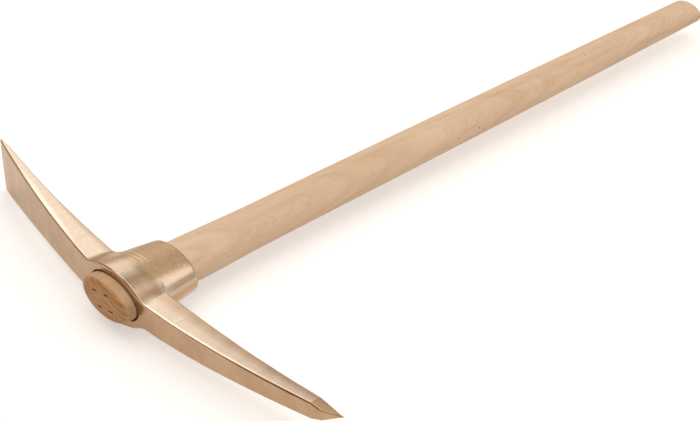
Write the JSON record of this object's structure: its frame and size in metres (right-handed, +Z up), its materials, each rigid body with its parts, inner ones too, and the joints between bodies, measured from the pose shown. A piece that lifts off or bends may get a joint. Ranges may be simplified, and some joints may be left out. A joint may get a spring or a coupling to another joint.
{
  "type": "pick axe",
  "caption": "Pick with a pointed arm and a chisel arm, cast round a tapered oval eye that jams on the flared end of an oval wooden handle.",
  "frame": {"origin": "middle of the tool's length and width, at the height of the lowest corner of the cutting edge", "axes": "+X along the head towards the point, +Y along the handle towards the butt, +Z up through the side of the head"},
  "size_m": [0.555, 0.903, 0.064],
  "materials": {
    "bronze": "satin, ground on the flanks and cast on the collar",
    "beech": "turned and sanded, unvarnished"
  },
  "bodies": {
    "handle": {"handle": "beech"},
    "head": {"pick_head": "bronze"}
  },
  "joints": [
    {"name": "head_slide", "type": "slide", "parent": "handle", "child": "head", "axis": [0, 1, 0], "range_m": [0, 0.92]}
  ]
}
